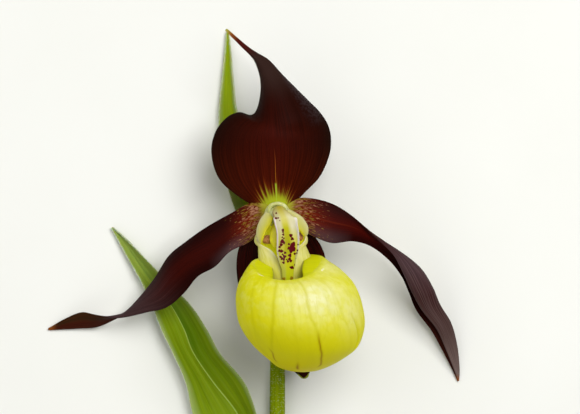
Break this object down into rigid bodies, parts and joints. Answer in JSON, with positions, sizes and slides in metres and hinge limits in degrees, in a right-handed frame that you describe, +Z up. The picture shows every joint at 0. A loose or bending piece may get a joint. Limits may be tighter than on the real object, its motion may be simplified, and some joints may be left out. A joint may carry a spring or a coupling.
{
  "type": "cut lady's slipper orchid",
  "caption": "Cut flowering stem of a yellow and maroon lady's slipper orchid with one leaf and a bract, lying on its back.",
  "frame": {"origin": "on the surface that the part lies on, on the flat keel of the bract, under the node where the bract clasps the stem", "axes": "+Z is up, away from the surface, and is the way the flower faces; +Y runs up the stem, from its cut end to the tip of the bract; +X is to the right seen from above"},
  "size_m": [0.0881, 0.1451, 0.0413],
  "materials": {
    "stem_skin": "hairy green plant skin",
    "bract_blade": "thin satin leaf, light green",
    "leaf_blade": "pleated satin leaf, green",
    "sepal_maroon": "satin petal, dark maroon with fine veins",
    "petal_maroon": "satin petal, maroon with a mottled base",
    "lip_yellow": "waxy yellow pouch with fine veins",
    "column_cream": "waxy pale yellow-green",
    "staminode_spotted": "waxy pale yellow with crimson spots",
    "pollen": "sticky brown pollen mass"
  },
  "bodies": {
    "root": {"stem": "stem_skin", "ovary": "stem_skin", "bract": "bract_blade", "leaf": "leaf_blade", "dorsal_sepal": "sepal_maroon", "synsepal": "sepal_maroon", "petal_left": "petal_maroon", "petal_right": "petal_maroon", "lip": "lip_yellow", "column": "column_cream", "staminode": "staminode_spotted", "anther_left": "pollen", "anther_right": "pollen"}
  },
  "joints": []
}
